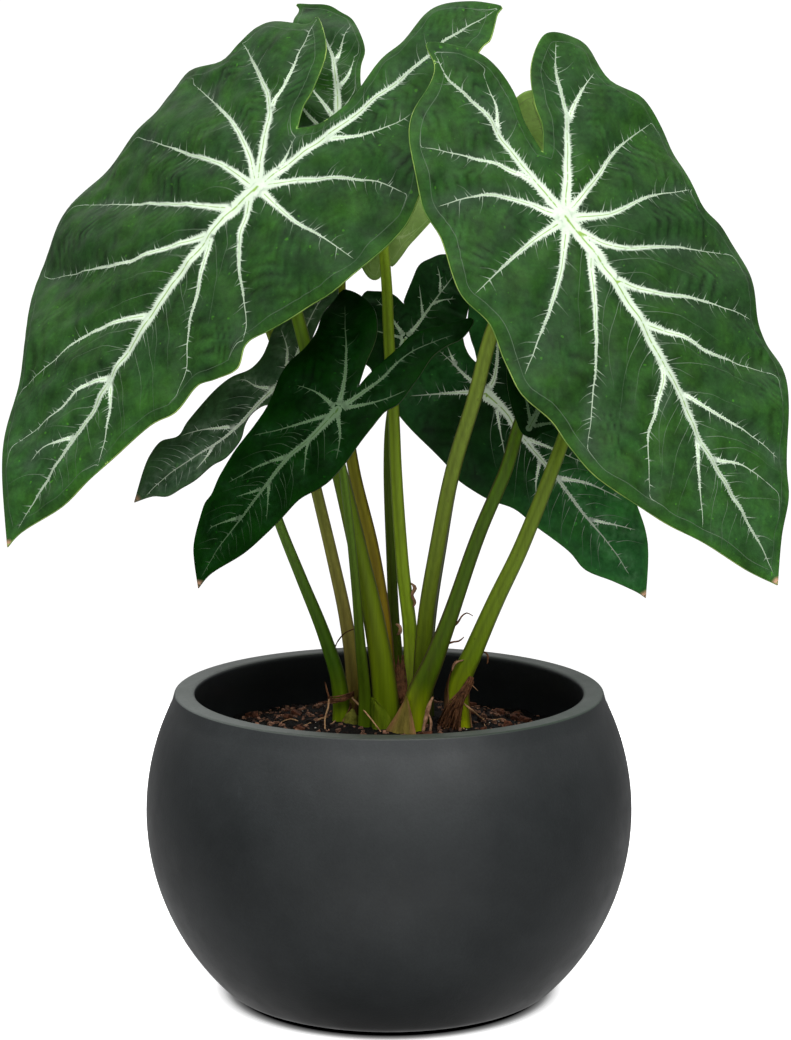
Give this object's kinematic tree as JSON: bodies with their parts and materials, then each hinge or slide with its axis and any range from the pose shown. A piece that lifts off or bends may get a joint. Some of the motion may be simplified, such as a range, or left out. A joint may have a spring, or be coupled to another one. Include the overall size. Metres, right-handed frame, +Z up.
{
  "type": "potted alocasia",
  "caption": "Living alocasia in a round matte pot: waved arrowhead leaves with pale veins on upright stalks rising from mounded soil.",
  "frame": {"origin": "middle of the pot's flat underside, on the surface it stands on", "axes": "+Z up, -Y to the front that the picture shows, +X to the right seen from the front"},
  "size_m": [0.4097, 0.26, 0.5249],
  "materials": {
    "pot": "matte charcoal, unglazed, faintly mottled",
    "soil": "damp dark potting mix with bark and pale grains",
    "blade_lit": "satin green leaf tissue with pale veins, pale green beneath",
    "blade_dark": "satin dark green leaf tissue with grey-green veins, pale green beneath",
    "stalk": "satin green leaf stalk with purple-brown streaks",
    "sheath": "dry papery brown sheath"
  },
  "bodies": {
    "root": {"pot": "pot", "soil": "soil", "stalk_front_left": "stalk", "blade_front_left": "blade_lit", "stalk_front_right": "stalk", "blade_front_right": "blade_lit", "stalk_front_small": "stalk", "blade_front_small": "blade_dark", "stalk_left_middle": "stalk", "blade_left_middle": "blade_dark", "stalk_right_middle": "stalk", "blade_right_middle": "blade_dark", "stalk_inner_dark": "stalk", "blade_inner_dark": "blade_dark", "stalk_back_top": "stalk", "blade_back_top": "blade_lit", "stalk_back_middle": "stalk", "blade_back_middle": "blade_lit", "stalk_right_inner": "stalk", "blade_right_inner": "blade_dark", "stalk_right_back": "stalk", "blade_right_back": "blade_lit", "stalk_left_back": "stalk", "blade_left_back": "blade_lit", "sheath_left": "sheath", "sheath_front": "sheath", "sheath_right": "sheath", "sheath_back": "sheath"}
  },
  "joints": []
}
